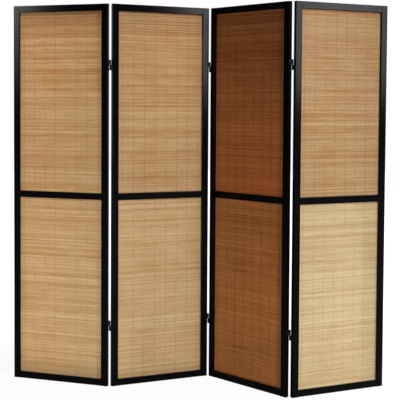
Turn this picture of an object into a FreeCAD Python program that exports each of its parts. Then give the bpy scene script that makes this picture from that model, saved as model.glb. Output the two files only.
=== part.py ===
import FreeCAD, Part
import os

from FreeCAD import Placement, Rotation, Vector

# A folding screen of four equal framed panels, standing in a zigzag.
# Millimetres, +Z up, the front towards -Y, the origin on the floor under the middle of the screen.

# Panel frame
panel_height = 1800.0
panel_width = 490.0
stock_thickness = 20.0
stile_face = 32.0
rail_face = 32.0
edge_round = 1.5
middle_rail_height = 898.0

# Bamboo mats and the grooves that hold them
mat_thickness = 3.0
mat_face_clearance = 0.2
mat_edge_clearance = 1.0
groove_depth = 7.0

# Tenons that join the rails to the stiles
tenon_thickness = 8.0
tenon_length = 18.0
tenon_shoulder = 2.0
mortise_clearance = 0.1
mortise_end_room = 1.0

# Two-knuckle hinges, each leaf half as high as its hinge
hinge_gap = 8.0
hinge_height = 48.0
hinge_end_distance = 285.0
axis_stand_off = 1.0
knuckle_room = 0.4
knuckle_gap = 0.4
pin_diameter = 3.6
running_clearance = 0.05
pin_stand_out = 0.6
leaf_thickness = 1.6
leaf_end_margin = 2.0
leaf_corner_cut = 3.0

# Countersunk hinge screws
screw_diameter = 3.0
screw_head_diameter = 6.0
screw_length = 14.0
screw_sides = 10
screw_spread = 6.5
screw_rise = 9.0
screw_clearance = 0.02

# Turn of each panel out of the screen's own line as it stands, in degrees, and the side of the fold:
# the hinge axis lies behind the frame at the first and third folds, in front at the second
panel_turns = {1: 20.0, 2: -20.5, 3: 47.0, 4: -21.5}
fold_sides = {1: "back", 2: "front", 3: "back"}

# Sizes that follow from the ones above
groove_width = mat_thickness + 2 * mat_face_clearance
opening_width = panel_width - 2 * stile_face
tenon_height = rail_face - 2 * (groove_depth + tenon_shoulder)
knuckle_radius = hinge_gap / 2 - knuckle_room
leaf_height = (hinge_height - knuckle_gap) / 2
leaf_reach = stock_thickness + axis_stand_off - leaf_end_margin
screw_head_height = (screw_head_diameter - screw_diameter) / 2
rail_centres = {
    "bottom": rail_face / 2,
    "middle": middle_rail_height,
    "top": panel_height - rail_face / 2,
}
hinge_bases = {
    "top": panel_height - hinge_end_distance - hinge_height / 2,
    "bottom": hinge_end_distance - hinge_height / 2,
}
across = Vector(1, 0, 0)
upward = Vector(0, 0, 1)


def block(x_range, y_range, z_range):
    low = Vector(x_range[0], y_range[0], z_range[0])
    size = Vector(x_range[1], y_range[1], z_range[1]) - low
    return Part.makeBox(size.x, size.y, size.z, low)


def middle_band(width):
    """Range of depth of a band of this width, centred in the stock."""
    return ((stock_thickness - width) / 2, (stock_thickness + width) / 2)


def axis_depth(side):
    """Depth of a fold's hinge axis, measured from the front face of the frame."""
    if side == "back":
        return stock_thickness + axis_stand_off
    return -axis_stand_off


def screw_spots(side):
    """Depth and height of a leaf's two screws, from its hinge axis and its lower end."""
    inward = -1 if side == "back" else 1
    middle = inward * (knuckle_radius + leaf_reach) / 2
    half_rise = screw_rise / 2
    return [
        (middle - screw_spread / 2, leaf_height / 2 - half_rise),
        (middle + screw_spread / 2, leaf_height / 2 + half_rise),
    ]


def leaf_base(hinge_name, leaf_name):
    """Height of a leaf's lower end: the left leaf is the upper half of its hinge."""
    base = hinge_bases[hinge_name]
    return base + leaf_height + knuckle_gap if leaf_name == "left" else base


def hinge_axis(leaf_name, side):
    """Hinge axis in the frame of the panel that carries this leaf."""
    x = panel_width + hinge_gap / 2 if leaf_name == "left" else -hinge_gap / 2
    return Vector(x, axis_depth(side), 0)


def make_leaf(leaf_name, side, base):
    """Rolled leaf: a plate on the stile's edge and one knuckle round the axis, axis at the origin."""
    toward_panel = -1 if leaf_name == "left" else 1
    inward = -1 if side == "back" else 1
    turning = leaf_name == "left"
    bore = pin_diameter / 2 + (running_clearance if turning else 0)
    edge = toward_panel * hinge_gap / 2
    face = edge - toward_panel * leaf_thickness
    end = inward * leaf_reach
    plate = block(sorted((edge, face)), sorted((0.0, end)), (base, base + leaf_height))
    corners = [
        line
        for line in plate.Edges
        if abs(line.CenterOfMass.y - end) < 1e-6 and line.Length < 1.01 * leaf_thickness
    ]
    plate = plate.makeChamfer(leaf_corner_cut, corners)
    foot = Vector(0, 0, base)
    knuckle = Part.makeCylinder(knuckle_radius, leaf_height, foot)
    leaf = plate.fuse(knuckle).removeSplitter()
    leaf = leaf.cut(Part.makeCylinder(bore, leaf_height, foot))
    for depth, rise in screw_spots(side):
        hole = make_screw(toward_panel, screw_clearance)
        hole.translate(Vector(face, depth, base + rise))
        leaf = leaf.cut(hole)
    return leaf


def screw_ring(diameter, grow, x):
    """Corners of a many-sided ring round the X axis, a section of a screw or of its hole."""
    corner = Vector(x, diameter / 2 + grow, 0)
    return [Rotation(across, 360.0 * step / screw_sides).multVec(corner) for step in range(screw_sides)]


def flat_face(corners):
    return Part.Face(Part.makePolygon(corners + corners[:1]))


def make_screw(direction, grow=0.0):
    """Countersunk screw with its head's flat face at the origin, driven along +X or -X."""
    rings = [
        screw_ring(screw_head_diameter, grow, 0),
        screw_ring(screw_diameter, grow, screw_head_height),
        screw_ring(screw_diameter, grow, screw_length + grow),
    ]
    faces = [flat_face(rings[0]), flat_face(rings[-1])]
    for near, far in zip(rings, rings[1:]):
        for side in range(screw_sides):
            faces.append(flat_face([near[side - 1], near[side], far[side], far[side - 1]]))
    screw = Part.Solid(Part.Shell(faces))
    if screw.Volume < 0:
        screw.reverse()
    if direction < 0:
        screw.rotate(Vector(0, 0, 0), upward, 180)
    return screw


def make_pin(base):
    """Plain riveted hinge pin that stands a little out of both knuckles, axis at the origin."""
    foot = Vector(0, 0, base - pin_stand_out)
    return Part.makeCylinder(pin_diameter / 2, hinge_height + 2 * pin_stand_out, foot)


def rail_span(rail_name):
    centre = rail_centres[rail_name]
    return (centre - rail_face / 2, centre + rail_face / 2)


def tenon_block(rail_name, stile_name, grow, extra_length):
    """Tenon of one rail in one stile, or its mortise when it is grown."""
    centre = rail_centres[rail_name]
    half = tenon_height / 2 + grow
    depth = middle_band(tenon_thickness + 2 * grow)
    length = tenon_length + extra_length
    if stile_name == "left":
        x_range = (stile_face - length, stile_face)
    else:
        x_range = (panel_width - stile_face, panel_width - stile_face + length)
    return block(x_range, depth, (centre - half, centre + half))


def make_rail(rail_name):
    low, high = rail_span(rail_name)
    x_range = (stile_face, panel_width - stile_face)
    bar = block(x_range, (0, stock_thickness), (low, high))
    long_edges = [line for line in bar.Edges if line.Length > 0.99 * opening_width]
    rail = bar.makeFillet(edge_round, long_edges)
    for stile_name in ("left", "right"):
        rail = rail.fuse(tenon_block(rail_name, stile_name, 0.0, 0.0))
    band = middle_band(groove_width)
    if rail_name != "top":
        rail = rail.cut(block(x_range, band, (high - groove_depth, high)))
    if rail_name != "bottom":
        rail = rail.cut(block(x_range, band, (low, low + groove_depth)))
    return rail.removeSplitter()


def make_stile(stile_name, fold_side):
    left = stile_name == "left"
    outer = 0.0 if left else panel_width
    inner = stile_face if left else panel_width - stile_face
    groove_floor = inner - groove_depth if left else inner + groove_depth
    bar = block(sorted((outer, inner)), (0, stock_thickness), (0, panel_height))
    long_edges = [line for line in bar.Edges if line.Length > 0.99 * panel_height]
    stile = bar.makeFillet(edge_round, long_edges)
    end_room = rail_face - groove_depth
    groove = block(
        sorted((inner, groove_floor)),
        middle_band(groove_width),
        (end_room, panel_height - end_room),
    )
    stile = stile.cut(groove)
    for rail_name in rail_centres:
        mortise = tenon_block(rail_name, stile_name, mortise_clearance, mortise_end_room)
        stile = stile.cut(mortise)
    if fold_side is not None:
        for hole in placed_screws(stile_name, fold_side, screw_clearance):
            stile = stile.cut(hole)
    return stile


def screw_places(stile_name, side):
    """Head centres of the screws of both hinges on one stile's outer edge."""
    leaf_name = "right" if stile_name == "left" else "left"
    toward_panel = 1 if leaf_name == "right" else -1
    axis = hinge_axis(leaf_name, side)
    face = axis.x + toward_panel * (hinge_gap / 2 - leaf_thickness)
    places = []
    for hinge_name in hinge_bases:
        base = leaf_base(hinge_name, leaf_name)
        places += [Vector(face, axis.y + depth, base + rise) for depth, rise in screw_spots(side)]
    return places


def placed_screws(stile_name, side, grow=0.0):
    """Screws of both hinges on one stile's outer edge, or their pilot holes when grown."""
    direction = 1 if stile_name == "left" else -1
    screws = []
    for spot in screw_places(stile_name, side):
        screw = make_screw(direction, grow)
        screw.translate(spot)
        screws.append(screw)
    return screws


def make_mat(low_rail, high_rail):
    """Mat that stands on the groove floor of the rail below it."""
    reach = groove_depth - mat_edge_clearance
    x_range = (stile_face - reach, panel_width - stile_face + reach)
    low = rail_span(low_rail)[1] - groove_depth
    high = rail_span(high_rail)[0] + reach
    return block(x_range, middle_band(mat_thickness), (low, high))


def panel_placements():
    """Places of the panels in a chain, hinge axis to hinge axis, before the chain is centred."""
    places = {}
    start = Vector(0, 0, 0)
    for number, turn in panel_turns.items():
        rotation = Rotation(upward, -turn)
        places[number] = Placement(start, rotation)
        if number in fold_sides:
            side = fold_sides[number]
            axis = places[number].multVec(hinge_axis("left", side))
            next_rotation = Rotation(upward, -panel_turns[number + 1])
            start = axis - next_rotation.multVec(hinge_axis("right", side))
    return places


def panel_nodes(number):
    """Pieces that are carried by one panel, in that panel's own frame."""
    name = f"panel_{number}"
    sides = {"left": fold_sides.get(number - 1), "right": fold_sides.get(number)}
    nodes = {}
    screws = []
    for stile_name, side in sides.items():
        nodes[f"{name}_{stile_name}_stile"] = make_stile(stile_name, side)
        if side is not None:
            screws += placed_screws(stile_name, side)
    for rail_name in rail_centres:
        nodes[f"{name}_{rail_name}_rail"] = make_rail(rail_name)
    nodes[f"{name}_lower_mat"] = make_mat("bottom", "middle")
    nodes[f"{name}_upper_mat"] = make_mat("middle", "top")
    nodes[f"{name}_hinge_screws"] = Part.makeCompound(screws)
    for leaf_name, fold in (("left", number), ("right", number - 1)):
        side = fold_sides.get(fold)
        if side is None:
            continue
        axis = hinge_axis(leaf_name, side)
        for hinge_name in hinge_bases:
            leaf = make_leaf(leaf_name, side, leaf_base(hinge_name, leaf_name))
            leaf.translate(axis)
            nodes[f"hinge_{fold}_{hinge_name}_{leaf_name}_leaf"] = leaf
            if leaf_name == "right":
                pin = make_pin(hinge_bases[hinge_name])
                pin.translate(axis)
                nodes[f"hinge_{fold}_{hinge_name}_pin"] = pin
    return nodes


def main():
    os.makedirs("parts", exist_ok=True)
    places = panel_placements()
    nodes = {}
    for number in panel_turns:
        for name, shape in panel_nodes(number).items():
            shape.Placement = places[number].multiply(shape.Placement)
            nodes[name] = shape
    box = Part.makeCompound(list(nodes.values())).optimalBoundingBox(False)
    to_middle = Vector(-box.Center.x, -box.Center.y, -box.ZMin)
    for name, shape in nodes.items():
        shape.translate(to_middle)
        shape.exportStep(f"parts/{name}.step")
        state = "valid" if shape.isValid() else "NOT VALID"
        print(f"{name}: {state}, {len(shape.Solids)} solids, {shape.Volume / 1000:.2f} cm3")
    for number, side in fold_sides.items():
        axis = places[number].multVec(hinge_axis("left", side)) + to_middle
        print(f"fold_{number} axis at x {axis.x:.4f}, y {axis.y:.4f}")
    print(f"overall {box.XLength:.2f} x {box.YLength:.2f} x {box.ZLength:.2f}")


main()
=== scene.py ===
import math
import bpy
import numpy as np
from mathutils import Matrix, Vector


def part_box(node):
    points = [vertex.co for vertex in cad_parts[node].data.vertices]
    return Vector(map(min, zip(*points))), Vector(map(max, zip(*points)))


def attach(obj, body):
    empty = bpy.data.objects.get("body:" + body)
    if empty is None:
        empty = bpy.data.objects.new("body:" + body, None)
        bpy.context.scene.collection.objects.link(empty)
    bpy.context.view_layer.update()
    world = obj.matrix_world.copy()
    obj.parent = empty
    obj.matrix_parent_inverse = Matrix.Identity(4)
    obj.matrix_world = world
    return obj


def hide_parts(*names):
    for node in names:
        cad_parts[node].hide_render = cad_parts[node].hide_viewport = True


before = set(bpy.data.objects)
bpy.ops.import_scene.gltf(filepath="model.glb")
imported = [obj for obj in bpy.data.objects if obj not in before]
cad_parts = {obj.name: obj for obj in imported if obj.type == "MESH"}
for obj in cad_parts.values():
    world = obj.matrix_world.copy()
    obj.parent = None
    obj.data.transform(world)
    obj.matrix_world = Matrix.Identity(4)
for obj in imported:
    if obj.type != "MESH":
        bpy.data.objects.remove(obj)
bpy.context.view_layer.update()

scene = bpy.context.scene
scene.view_settings.view_transform = "Standard"
print("frame loaded:", len(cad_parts), "nodes")


# Small helpers for modelling by hand
def deselectAll():
    if bpy.context.mode != "OBJECT":
        bpy.ops.object.mode_set(mode="OBJECT")
    bpy.ops.object.select_all(action="DESELECT")


def pickUp(piece):
    deselectAll()
    bpy.context.view_layer.objects.active = piece
    piece.select_set(True)


def selectEdges(piece, wanted):
    bpy.ops.object.mode_set(mode="EDIT")
    bpy.ops.mesh.select_mode(type="EDGE")
    bpy.ops.mesh.select_all(action="DESELECT")
    bpy.ops.object.mode_set(mode="OBJECT")
    for edge in piece.data.edges:
        ends = [piece.data.vertices[i].co for i in edge.vertices]
        edge.select = wanted(*ends)
    bpy.ops.object.mode_set(mode="EDIT")


def cloneOf(piece, name):
    twin = piece.copy()
    twin.data = piece.data.copy()
    twin.name = twin.data.name = name
    scene.collection.objects.link(twin)
    return twin


def paintOver(piece, finish):
    piece.data.materials.clear()
    piece.data.materials.append(finish)


def readPoints(mesh):
    points = np.zeros(len(mesh.vertices) * 3)
    mesh.vertices.foreach_get("co", points)
    return points.reshape(-1, 3)


def writePoints(mesh, points):
    mesh.vertices.foreach_set("co", points.ravel())
    mesh.update()


def pointValue(mesh, name, values):
    layer = mesh.attributes.new(name, "FLOAT", "POINT")
    layer.data.foreach_set("value", values.astype(np.float32))


# Shader sums: a Wire is a socket that adds its own Math nodes
class Wire:
    def __init__(self, bench, socket):
        self.bench = bench
        self.socket = socket

    def sum(self, operation, first, second):
        return self.bench.node("ShaderNodeMath", {"operation": operation}, {0: first, 1: second})

    def __add__(self, other):
        return self.sum("ADD", self, other)

    def __radd__(self, other):
        return self.sum("ADD", other, self)

    def __sub__(self, other):
        return self.sum("SUBTRACT", self, other)

    def __rsub__(self, other):
        return self.sum("SUBTRACT", other, self)

    def __mul__(self, other):
        return self.sum("MULTIPLY", self, other)

    def __rmul__(self, other):
        return self.sum("MULTIPLY", other, self)

    def __truediv__(self, other):
        return self.sum("DIVIDE", self, other)

    def __abs__(self):
        return self.sum("ABSOLUTE", self, 0.0)


# A Bench is the node tree of one material or of the world
class Bench:
    def __init__(self, owner):
        owner.use_nodes = True
        self.owner = owner
        self.tree = owner.node_tree
        self.tree.nodes.clear()

    def node(self, kind, settings=None, sockets=None, out=0):
        made = self.tree.nodes.new(kind)
        for key, value in (settings or {}).items():
            setattr(made, key, value)
        for key, value in (sockets or {}).items():
            if isinstance(value, Wire):
                self.tree.links.new(value.socket, made.inputs[key])
            else:
                made.inputs[key].default_value = value
        return Wire(self, made.outputs[out])

    def noise(self, place, look):
        return self.node("ShaderNodeTexNoise", {}, {"Vector": place, **look})

    def bump(self, height, look):
        return self.node("ShaderNodeBump", {}, {"Height": height, **look})

    def attribute(self, name):
        return self.node("ShaderNodeAttribute", {"attribute_name": name}, out="Fac")

    def tint(self, share, low, high):
        # a Mix node takes its two colours at sockets 6 and 7 and gives the mixed one at 2
        return self.node("ShaderNodeMix", {"data_type": "RGBA"}, {0: share, 6: low, 7: high}, out=2)

    def smooth(self, value, low, high):
        way = {"interpolation_type": "SMOOTHSTEP"}
        return self.node("ShaderNodeMapRange", way, {0: value, 1: low, 2: high})

    def close(self, shader, kind="ShaderNodeOutputMaterial"):
        made = self.tree.nodes.new(kind)
        self.tree.links.new(shader.socket, made.inputs["Surface"])
        return self.owner


# Camera at the photograph's place
view = {
    "place": (-0.1735, -4.3761, 1.3215),
    "turn": (87.615, -0.36, -2.371),
    "lens": 84.13,
    "sensor": 36,
    "drop": -0.135,  # the frame is shifted down instead of tilted, so uprights stay nearly upright
}
deselectAll()
bpy.ops.object.camera_add(location=view["place"], rotation=[math.radians(a) for a in view["turn"]])
camera = bpy.context.object
camera.data.sensor_width = view["sensor"]
camera.data.lens = view["lens"]
camera.data.shift_y = view["drop"]
scene.camera = camera
print("camera set")


# How far each panel is turned about the upright
def centreOf(node):
    low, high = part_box(node)
    return (low + high) / 2


turns = {}
for name in ("panel_1", "panel_2", "panel_3", "panel_4"):
    along = centreOf(name + "_right_stile") - centreOf(name + "_left_stile")
    turns[name] = math.atan2(along.y, along.x)


# Black lacquer on the frames: grain runs along the stick, the brush leaves the gloss uneven
lacquer = {
    "dark": (0.0010, 0.0010, 0.0011, 1),
    "pale": (0.0031, 0.0030, 0.0029, 1),
    "gloss": 0.13,
    "brushGloss": 0.06,  # added roughness where the brush left the coat thin
    "grainGloss": 0.05,  # and where the grain shows
    "shine": 0.10,
    "grainAcross": 140,
    "grainAlong": 5,
    "grain": {"Scale": 1.0, "Detail": 5.0, "Roughness": 0.6},
    "brush": {"Scale": 9.0, "Detail": 3.0},
    "relief": {"Strength": 0.25, "Distance": 0.00025},
}


def blackLacquer(name, turn, upright):
    bench = Bench(bpy.data.materials.new(name))
    place = bench.node("ShaderNodeTexCoord", out="Object")
    local = bench.node("ShaderNodeMapping", {}, {"Vector": place, "Rotation": (0, 0, -turn)})
    across, along = lacquer["grainAcross"], lacquer["grainAlong"]
    stretch = (across, across, along) if upright else (along, across, across)
    grainPlace = bench.node("ShaderNodeVectorMath", {"operation": "MULTIPLY"}, {0: local, 1: stretch})
    grain = bench.noise(grainPlace, lacquer["grain"])
    brush = bench.noise(local, lacquer["brush"])
    coat = bench.node("ShaderNodeBsdfPrincipled", {}, {
        "Base Color": bench.tint(grain, lacquer["dark"], lacquer["pale"]),
        "Roughness": lacquer["gloss"] + lacquer["brushGloss"] * brush + lacquer["grainGloss"] * grain,
        "Specular IOR Level": lacquer["shine"],
        "Normal": bench.bump(grain, lacquer["relief"]),
    })
    return bench.close(coat)


stileLacquer = blackLacquer("black lacquer stiles", 0.0, True)
for name, turn in turns.items():
    railLacquer = blackLacquer("black lacquer rails " + name, turn, False)
    for stile in ("left_stile", "right_stile"):
        paintOver(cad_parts[f"{name}_{stile}"], stileLacquer)
    for rail in ("top_rail", "middle_rail", "bottom_rail"):
        paintOver(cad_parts[f"{name}_{rail}"], railLacquer)
print("frames lacquered")


# Hinges and screws: black enamel that is rubbed thin in specks
enamel = {
    "dark": (0.010, 0.010, 0.011, 1),
    "rubbed": (0.055, 0.052, 0.048, 1),
    "rubbedFrom": (0.56, 0.74),  # the specks' values where rubbing begins and where it is full
    "metalShown": 0.6,
    "gloss": 0.34,
    "speckGloss": 0.15,
    "shine": 0.35,
    "speck": {
        "hinge": {"Scale": 160.0, "Detail": 6.0, "Roughness": 0.7},
        "screw": {"Scale": 420.0, "Detail": 6.0, "Roughness": 0.7},
    },
    "relief": {"Strength": 0.15, "Distance": 0.0002},
}


def blackEnamel(metal):
    bench = Bench(bpy.data.materials.new(f"black {metal} enamel"))
    place = bench.node("ShaderNodeTexCoord", out="Object")
    speck = bench.noise(place, enamel["speck"][metal])
    rubbed = bench.smooth(speck, *enamel["rubbedFrom"])
    skin = bench.node("ShaderNodeBsdfPrincipled", {}, {
        "Base Color": bench.tint(rubbed, enamel["dark"], enamel["rubbed"]),
        "Roughness": enamel["gloss"] + enamel["speckGloss"] * speck,
        "Metallic": enamel["metalShown"] * rubbed,
        "Specular IOR Level": enamel["shine"],
        "Normal": bench.bump(speck, enamel["relief"]),
    })
    return bench.close(skin)


hingeEnamel = blackEnamel("hinge")
screwEnamel = blackEnamel("screw")
for name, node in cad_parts.items():
    if name.endswith("_screws"):
        paintOver(node, screwEnamel)
    elif name.startswith("hinge_"):
        paintOver(node, hingeEnamel)
print("hinges enamelled")


# The mats' own UV map, in metres: u along the splints, v up the mat
def layOf(bench):
    uv = bench.node("ShaderNodeUVMap", {"uv_map": "lay"})
    u, v = [bench.node("ShaderNodeSeparateXYZ", {}, {0: uv}, out=axis) for axis in "XY"]
    return uv, u, v


# Bamboo splints: every splint has its own tone, streaks along it and a few dark knots; painted light pales
# some mats, and painted light and shade by height darkens their tops
straw = {
    "dark": (0.388, 0.143, 0.025, 1),
    "pale": (0.640, 0.512, 0.258, 1),
    # painted light: a mat paled to stand in for the light on it takes these paler ends of its colour
    "paintedLightDark": (0.555, 0.366, 0.158, 1),
    "paintedLightPale": (0.850, 0.764, 0.480, 1),
    # what makes a place pale: its splint's tone with the painted light and shade by height, fine streaks,
    # slow change over the mat, long patches
    "toneAndShadeShare": 0.78,
    "streakShare": 0.75,
    "slowShare": 0.40,
    "patchShare": 0.80,
    "darkening": 0.86,  # taken off their sum, so that it lies around the middle
    "streak": {"Scale": 1.0, "Detail": 4.0, "Roughness": 0.65},
    "streakAlong": 9,
    "streakAcross": 900,
    "streakApart": 7.0,  # how unlike each other the splints' streaks are
    "slow": {"Scale": 7.0, "Detail": 2.0},
    "patch": {"Scale": 1.0, "Detail": 2.0},
    "patchAlong": 8.0,
    "patchAcross": 95.0,
    "knot": (0.25, 0.128, 0.044, 1),
    "knotShare": 0.7,
    "knotEvery": 0.31,
    "knotHalf": 0.0015,
    "knotCore": 0.00045,
    "gloss": 0.48,
    "streakGloss": 0.22,
    "shine": 0.44,
    "relief": {"Strength": 0.35, "Distance": 0.0004},
    # daylight that comes through a splint; the lower mats pass a yellower light than the upper ones, a
    # painted difference that follows how the light falls through the third panel
    "through": {"upper": (0.93, 0.435, 0.190, 1), "lower": (0.89, 0.480, 0.175, 1)},
    "throughLeast": 0.228,
    "throughGain": 0.144,  # pale places let more through
}


def bambooFinish(which):
    bench = Bench(bpy.data.materials.new("split bamboo " + which))
    uv, u, v = layOf(bench)
    toneAndShade, shift, paintedLight = [bench.attribute(name) for name in ("toneAndShade", "shift", "paintedLight")]
    ownLength = u + shift  # each splint is cut from another place of its cane
    streakPlace = bench.node("ShaderNodeCombineXYZ", {}, {
        "X": straw["streakAlong"] * ownLength,
        "Y": straw["streakAcross"] * v,
        "Z": straw["streakApart"] * shift,
    })
    patchPlace = bench.node("ShaderNodeCombineXYZ", {}, {
        "X": straw["patchAlong"] * u,
        "Y": straw["patchAcross"] * v,
    })
    streak = bench.noise(streakPlace, straw["streak"])
    slow = bench.noise(uv, straw["slow"])
    patch = bench.noise(patchPlace, straw["patch"])
    fine = straw["toneAndShadeShare"] * toneAndShade + straw["streakShare"] * streak
    broad = straw["slowShare"] * slow + straw["patchShare"] * patch
    paleness = fine + broad - straw["darkening"]
    # painted light: the more a mat is paled, the paler both ends of its colour
    darkest = bench.tint(paintedLight, straw["dark"], straw["paintedLightDark"])
    palest = bench.tint(paintedLight, straw["pale"], straw["paintedLightPale"])
    turnOfKnot = bench.node("ShaderNodeMath", {"operation": "FRACT"}, {0: ownLength / straw["knotEvery"]})
    knotGap = abs(turnOfKnot - 0.5) * straw["knotEvery"]
    knot = straw["knotShare"] * (1 - bench.smooth(knotGap, straw["knotCore"], straw["knotHalf"]))
    skin = bench.node("ShaderNodeBsdfPrincipled", {}, {
        "Base Color": bench.tint(knot, bench.tint(paleness, darkest, palest), straw["knot"]),
        "Roughness": straw["gloss"] + straw["streakGloss"] * streak,
        "Specular IOR Level": straw["shine"],
        "Normal": bench.bump(streak, straw["relief"]),
    })
    glow = bench.node("ShaderNodeBsdfTranslucent", {}, {"Color": straw["through"][which]})
    through = straw["throughLeast"] + straw["throughGain"] * paleness
    return bench.close(bench.node("ShaderNodeMixShader", {}, {0: through, 1: skin, 2: glow}))


# Binding twine: two plies, fuzz, places where the dye has gone, and painted light where its mat is paled
twine = {
    "dark": (0.335, 0.146, 0.040, 1),
    "pale": (0.525, 0.246, 0.074, 1),
    "paleLeast": 0.30,
    "plyShare": 0.25,
    "fuzzShare": 0.40,
    "plyTurns": 1100,
    "plySlant": 0.8,
    "fuzz": {"Scale": 1500.0, "Detail": 3.0},
    "bare": (0.585, 0.335, 0.115, 1),
    "bareShare": 0.8,
    "wear": {"Scale": 29.0, "Detail": 2.0},
    "wornFrom": (0.47, 0.66),  # the wear's values where dye begins to go and where it is gone
    # painted light: the twine is paled together with its mat
    "paintedLight": (0.75, 0.520, 0.258, 1),
    "paintedLightShare": 0.65,
    "gloss": 0.78,
    "fuzzGloss": 0.15,
    "shine": 0.2,
    "relief": {"Strength": 0.4, "Distance": 0.0002},
}


def twineFinish():
    bench = Bench(bpy.data.materials.new("brown binding twine"))
    uv, u, v = layOf(bench)
    lay = twine["plyTurns"] * (u + twine["plySlant"] * v) * math.tau
    ply = bench.node("ShaderNodeMath", {"operation": "SINE"}, {0: lay})
    fuzz = bench.noise(uv, twine["fuzz"])
    paleness = twine["paleLeast"] + twine["plyShare"] * ply + twine["fuzzShare"] * fuzz
    dyed = bench.tint(paleness, twine["dark"], twine["pale"])
    worn = bench.smooth(bench.noise(uv, twine["wear"]), *twine["wornFrom"])
    used = bench.tint(twine["bareShare"] * worn, dyed, twine["bare"])
    skin = bench.node("ShaderNodeBsdfPrincipled", {}, {
        # painted light pales the twine with its mat
        "Base Color": bench.tint(twine["paintedLightShare"] * bench.attribute("paintedLight"), used, twine["paintedLight"]),
        "Roughness": twine["gloss"] + twine["fuzzGloss"] * fuzz,
        "Specular IOR Level": twine["shine"],
        "Normal": bench.bump(ply + fuzz, twine["relief"]),
    })
    return bench.close(skin)


bamboo = {which: bambooFinish(which) for which in straw["through"]}
binding = twineFinish()
print("bamboo and twine mixed")


# One plain mat, laid level: splints stacked upward and pairs of twine that cross between them
mat = {
    "splints": 172,
    "pitch": 0.005,  # of the plain mat, before each real mat spreads its splints
    "thick": 0.0019,
    "sides": 8,
    "cuts": 5,  # places along a splint where it may bend
    "squeeze": 1.03,  # neighbours press on each other
    "sheet": 0.003,  # thickness of the CAD sheet
    "lines": 8,
    "lineGap": 0.0548,
    "twineWide": 0.0020,
    "twineThick": 0.0005,
    "twineAside": 0.0004,  # the two twines of a line lie this far either side of it
    "twineSteps": 4,  # for each splint that a twine passes
    "joinWithin": 0.00001,
    "smoothAngle": 50,
    "widths": (0.74, 1.26),  # narrowest and widest splint, as shares of the mean
    "thinnest": 0.88,
    "sway": 0.00008,
    "swayMost": 0.00015,
    "toneSpread": 2.2,  # larger is more alike
    "firstSeed": 11,
    "seedStep": 7,
    # painted light: how far each mat's colour is paled, standing in for the brighter light on the lower mats
    # and a white sheen on the fourth panel's lower mat
    "paintedLight": {
        "panel_1_upper": 0.10,
        "panel_1_lower": 0.30,
        "panel_2_lower": 0.34,
        "panel_3_lower": 0.34,
        "panel_4_upper": 0.10,
        "panel_4_lower": 1.0,
    },
    # painted light and shade by height, darker near a mat's top and paler lower down: shares of its height
    # from the foot, each with its change of tone
    "paintedLightAndShade": {
        "upper": ((0.0, 0.08), (0.45, 0.04), (0.55, -0.03), (0.75, -0.15), (1.0, -0.19)),
        "lower": ((0.0, -0.02), (0.18, 0.04), (0.35, 0.13), (0.55, 0.05), (0.70, -0.03), (1.0, -0.08)),
    },
}


def matSize(node, turn):
    low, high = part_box(node)
    span = high - low
    length = (span.x - mat["sheet"] * abs(math.sin(turn))) / abs(math.cos(turn))
    return length, span.z


def plainSplint(length):
    deselectAll()
    lying = (0, math.radians(90), 0)
    bpy.ops.mesh.primitive_cylinder_add(vertices=mat["sides"], radius=0.5, depth=1, rotation=lying)
    splint = bpy.context.object
    bpy.ops.object.transform_apply(location=False, rotation=True, scale=False)
    halfSide = math.pi / mat["sides"]
    splint.rotation_euler = (halfSide, 0, 0)
    bpy.ops.object.transform_apply(location=False, rotation=True, scale=False)
    reach = math.cos(halfSide)  # from flat to flat
    splint.scale = (length, mat["thick"] / reach, mat["pitch"] * mat["squeeze"] / reach)
    bpy.ops.object.transform_apply(location=False, rotation=False, scale=True)
    selectEdges(splint, lambda a, b: abs(a.x - b.x) > length / 2)
    bpy.ops.mesh.subdivide(number_cuts=mat["cuts"])
    bpy.ops.object.mode_set(mode="OBJECT")
    return splint


def plainTwine(side):
    # one bite over two splints: in front of one, behind the next
    steps = mat["twineSteps"]
    swing = mat["thick"] / 2 + mat["twineThick"] / 2
    path = [side * swing * math.sin(math.pi * k / steps) for k in range(2 * steps + 1)]
    deselectAll()
    corner = math.radians(45)
    bpy.ops.mesh.primitive_circle_add(vertices=4, radius=0.5, fill_type="NOTHING", rotation=(0, 0, corner))
    strand = bpy.context.object
    bpy.ops.object.transform_apply(location=False, rotation=True, scale=False)
    squareSide = math.sin(corner)  # of the square that the circle's four points make
    strand.scale = (mat["twineWide"] / squareSide, mat["twineThick"] / squareSide, 1)
    strand.location = (0, path[0], 0)
    bpy.ops.object.transform_apply(location=True, rotation=False, scale=True)
    bpy.ops.object.mode_set(mode="EDIT")
    bpy.ops.mesh.select_all(action="SELECT")
    for start, end in zip(path, path[1:]):
        move = (0, end - start, mat["pitch"] / steps)
        bpy.ops.mesh.extrude_region_move(TRANSFORM_OT_translate={"value": move})
    bpy.ops.object.mode_set(mode="OBJECT")
    return strand


def stack(piece, count, rise, merge):
    pickUp(piece)
    rows = piece.modifiers.new("rows", "ARRAY")
    rows.use_relative_offset = False
    rows.use_constant_offset = True
    rows.constant_offset_displace = (0, 0, rise)
    rows.count = count
    rows.use_merge_vertices = merge
    rows.merge_threshold = mat["joinWithin"]
    bpy.ops.object.modifier_apply(modifier=rows.name)


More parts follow.
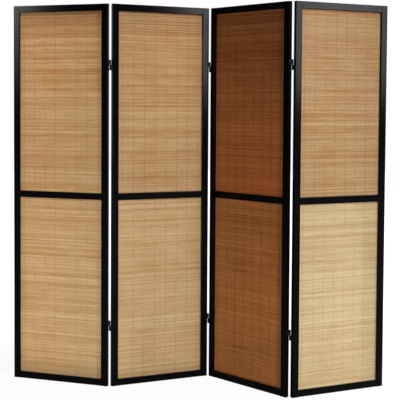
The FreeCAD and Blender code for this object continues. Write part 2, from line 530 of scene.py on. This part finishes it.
def twineLines():
    strands = []
    for side in (1, -1):
        strand = plainTwine(side)
        stack(strand, mat["splints"] // 2, 2 * mat["pitch"], True)
        for line in range(mat["lines"]):
            twin = cloneOf(strand, "strand")
            across = (line - (mat["lines"] - 1) / 2) * mat["lineGap"] + side * mat["twineAside"]
            twin.data.transform(Matrix.Translation((across, 0, 0)))
            strands.append(twin)
        bpy.data.objects.remove(strand)
    deselectAll()
    for twin in strands:
        twin.select_set(True)
    bpy.context.view_layer.objects.active = strands[0]
    bpy.ops.object.join()
    bpy.ops.object.mode_set(mode="EDIT")
    bpy.ops.mesh.select_all(action="SELECT")
    bpy.ops.mesh.fill_holes(sides=4)  # the twines' cut ends
    bpy.ops.mesh.select_all(action="SELECT")
    bpy.ops.mesh.normals_make_consistent(inside=False)
    bpy.ops.object.mode_set(mode="OBJECT")
    return bpy.context.object


splintLength = matSize("panel_1_upper_mat", turns["panel_1"])[0]
plainSplints = plainSplint(splintLength)
splintPoints = len(plainSplints.data.vertices)
stack(plainSplints, mat["splints"], mat["pitch"], False)
plainTwines = twineLines()
print("plain mat modelled:", len(plainSplints.data.polygons), "and", len(plainTwines.data.polygons), "faces")


# The eight real mats: each spreads the plain one over its own uneven splints
def layUv(mesh, points):
    layer = mesh.uv_layers.new(name="lay")
    corners = np.zeros(len(mesh.loops), dtype=np.int32)
    mesh.loops.foreach_get("vertex_index", corners)
    layer.data.foreach_set("uv", points[corners][:, [0, 2]].ravel().astype(np.float32))


def spreadSplints(mesh, which, length, height, edges, chance):
    count, cuts, pitch = mat["splints"], mat["cuts"], mat["pitch"]
    points = readPoints(mesh)
    index = np.arange(len(points)) // splintPoints
    middle = (edges[:-1] + edges[1:]) / 2
    tall = np.diff(edges) / pitch
    rise = points[:, 2] - index * pitch
    points[:, 2] = np.clip(middle[index] + rise * tall[index], -height / 2, height / 2)
    thin = chance.uniform(mat["thinnest"], 1.0, count)
    points[:, 1] *= thin[index]
    sway = chance.normal(0, mat["sway"], (count, cuts + 2))  # splints are never quite straight
    station = np.rint((points[:, 0] / length + 0.5) * (cuts + 1)).astype(int)
    points[:, 1] += np.clip(sway[index, station], -mat["swayMost"], mat["swayMost"])
    toneAndShade = chance.beta(mat["toneSpread"], mat["toneSpread"], count)
    # painted light and shade: each splint's tone is shifted by its height on the mat, darker near the top
    # and paler lower down
    heights, changes = zip(*mat["paintedLightAndShade"][which])
    toneAndShade += np.interp(middle / height + 0.5, heights, changes)
    shift = chance.uniform(0, 1, count)
    layUv(mesh, points)
    pointValue(mesh, "toneAndShade", toneAndShade[index])
    pointValue(mesh, "shift", shift[index])
    writePoints(mesh, points)


def spreadTwines(mesh, edges):
    even = np.arange(mat["splints"] + 1) * mat["pitch"]
    points = readPoints(mesh)
    points[:, 2] = np.interp(points[:, 2], even, edges)
    layUv(mesh, points)
    writePoints(mesh, points)


def hangMat(panelName, which, seed):
    node = f"{panelName}_{which}_mat"
    turn = turns[panelName]
    length, height = matSize(node, turn)
    chance = np.random.default_rng(seed)
    width = chance.uniform(*mat["widths"], mat["splints"])
    edges = np.concatenate([[0], np.cumsum(width)]) / width.sum() * height - height / 2
    splints = cloneOf(plainSplints, f"{panelName}_{which}_splints")
    spreadSplints(splints.data, which, length, height, edges, chance)
    twines = cloneOf(plainTwines, f"{panelName}_{which}_twines")
    spreadTwines(twines.data, edges)
    place = Matrix.Translation(centreOf(node)) @ Matrix.Rotation(turn, 4, "Z")
    # how much painted light pales this mat
    paintedLight = mat["paintedLight"].get(f"{panelName}_{which}", 0.0)
    for piece, finish in ((splints, bamboo[which]), (twines, binding)):
        pointValue(piece.data, "paintedLight", np.full(len(piece.data.vertices), paintedLight))
        piece.data.transform(place)
        paintOver(piece, finish)
        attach(piece, panelName)
        pickUp(piece)
        bpy.ops.object.shade_smooth_by_angle(angle=math.radians(mat["smoothAngle"]))
    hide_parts(node)


seed = mat["firstSeed"]
for panelName in turns:
    for which in ("lower", "upper"):
        hangMat(panelName, which, seed)
        seed += mat["seedStep"]
    print("mats hung in", panelName)
for plain in (plainSplints, plainTwines):
    bpy.data.objects.remove(plain)


# White floor and background that the camera sees, and dim surroundings for the light
room = {
    "white": (1, 1, 1, 1),
    "ambient": 0.03,
    "wall": (-0.05, 0.25),  # headings between which the dim studio turns into the white wall behind
    "floorSize": 30,
    "floor": (0.35, 0.35, 0.35, 1),
    "floorWhite": 1.29,
    "floorMirrored": 0.12,  # how much of the white floor the lacquer mirrors
    "shadowShare": 0.28,  # how much of the floor's own shade is seen at the screen
    "shadowEnds": (1.0, 2.4),  # how far out it begins to go and is gone
}


def seenStraight(bench, mirrored):
    kinds = ("Is Camera Ray", "Is Glossy Ray", "Is Transmission Ray", "Is Diffuse Ray")
    straight, glossy, passed, scattered = [bench.node("ShaderNodeLightPath", out=kind) for kind in kinds]
    return bench.node("ShaderNodeClamp", {}, {0: straight + (glossy + passed * (1 - scattered)) * mirrored})


scene.world = bpy.data.worlds.new("white room")
bench = Bench(scene.world)
direction = bench.node("ShaderNodeTexCoord", out="Generated")
heading = bench.node("ShaderNodeSeparateXYZ", {}, {0: direction}, out="Y")
wall = bench.smooth(heading, *room["wall"])
strength = room["ambient"] + (1 - room["ambient"]) * seenStraight(bench, wall)
backdrop = bench.node("ShaderNodeBackground", {}, {"Color": room["white"], "Strength": strength})
bench.close(backdrop, "ShaderNodeOutputWorld")

deselectAll()
bpy.ops.mesh.primitive_plane_add(size=room["floorSize"])
floor = bpy.context.object
floor.name = "floor"
bench = Bench(bpy.data.materials.new("white floor"))
paint = bench.node("ShaderNodeBsdfDiffuse", {}, {"Color": room["floor"]})
bright = bench.node("ShaderNodeEmission", {}, {"Color": room["white"], "Strength": room["floorWhite"]})
spot = bench.node("ShaderNodeTexCoord", out="Object")
far = bench.node("ShaderNodeVectorMath", {"operation": "LENGTH"}, {0: spot}, out="Value")
shade = room["shadowShare"] * (1 - bench.smooth(far, *room["shadowEnds"]))
seen = seenStraight(bench, room["floorMirrored"]) * (1 - shade)
paintOver(floor, bench.close(bench.node("ShaderNodeMixShader", {}, {0: seen, 1: paint, 2: bright})))
print("floor laid")


# Studio light: one soft box high on the right, narrow boxes that reach the left panels and the lower right,
# three small ones that the frames mirror at their tops, and two behind
lamps = {
    "high soft box": {
        "place": (6.95, -6.95, 7.80), "aim": (0, 0, 0.90),
        "size": (1.2, 1.2), "power": 1020, "fan": 180, "mirrored": True,
    },
    "low right box": {
        "place": (5.80, -1.55, 0.40), "aim": (0.5, 0, 0.20),
        "size": (1.4, 0.5), "power": 7.5, "fan": 40, "mirrored": False,
    },
    "left pair box": {
        "place": (-0.75, -3.40, 0.88), "aim": (-0.44, 0.08, 0.88),
        "size": (0.90, 1.68), "power": 1.90, "fan": 4, "mirrored": False,
    },
    "left pair low box": {
        "place": (-0.75, -3.40, 0.45), "aim": (-0.44, 0.08, 0.45),
        "size": (0.90, 0.85), "power": 0.30, "fan": 4, "mirrored": False,
    },
    "left end box": {
        "place": (-1.25, -3.40, 0.90), "aim": (-0.665, 0.08, 0.90),
        "size": (0.50, 1.75), "power": 0.95, "fan": 4, "mirrored": False,
    },
    "left sheen": {
        "place": (-2.75, -1.45, 2.05), "aim": (-0.92, 0.17, 1.62),
        "size": (0.25, 0.9), "power": 0.17, "fan": 16, "mirrored": True,
    },
    "middle sheen": {
        "place": (2.11, -1.99, 1.90), "aim": (0.03, 0.17, 1.60),
        "size": (0.30, 0.9), "power": 0.13, "fan": 16, "mirrored": True,
    },
    "right sheen": {
        "place": (3.05, -1.87, 1.90), "aim": (0.65, -0.09, 1.60),
        "size": (0.80, 0.9), "power": 0.45, "fan": 22, "mirrored": True,
    },
    "low light behind": {
        "place": (3.10, 0.64, 0.45), "aim": (0.24, 0, 0.45),
        "size": (0.25, 0.6), "power": 34, "fan": 80, "mirrored": False,
    },
    "wide light behind": {
        "place": (-0.6, 4.5, 1.6), "aim": (-0.1, 0, 0.9),
        "size": (3.0, 2.0), "power": 40, "fan": 180, "mirrored": False,
    },
}
for name, lamp in lamps.items():
    deselectAll()
    bpy.ops.object.light_add(type="AREA", location=lamp["place"])
    light = bpy.context.object
    light.name = name
    light.data.shape = "RECTANGLE"
    light.data.size, light.data.size_y = lamp["size"]
    light.data.energy = lamp["power"]
    light.data.spread = math.radians(lamp["fan"])
    light.visible_camera = False
    light.visible_glossy = lamp["mirrored"]  # only some lamps are meant to gleam on the lacquer
    aimed = Vector(lamp["aim"]) - Vector(lamp["place"])
    light.rotation_euler = aimed.to_track_quat("-Z", "Y").to_euler()
print("lamps set")
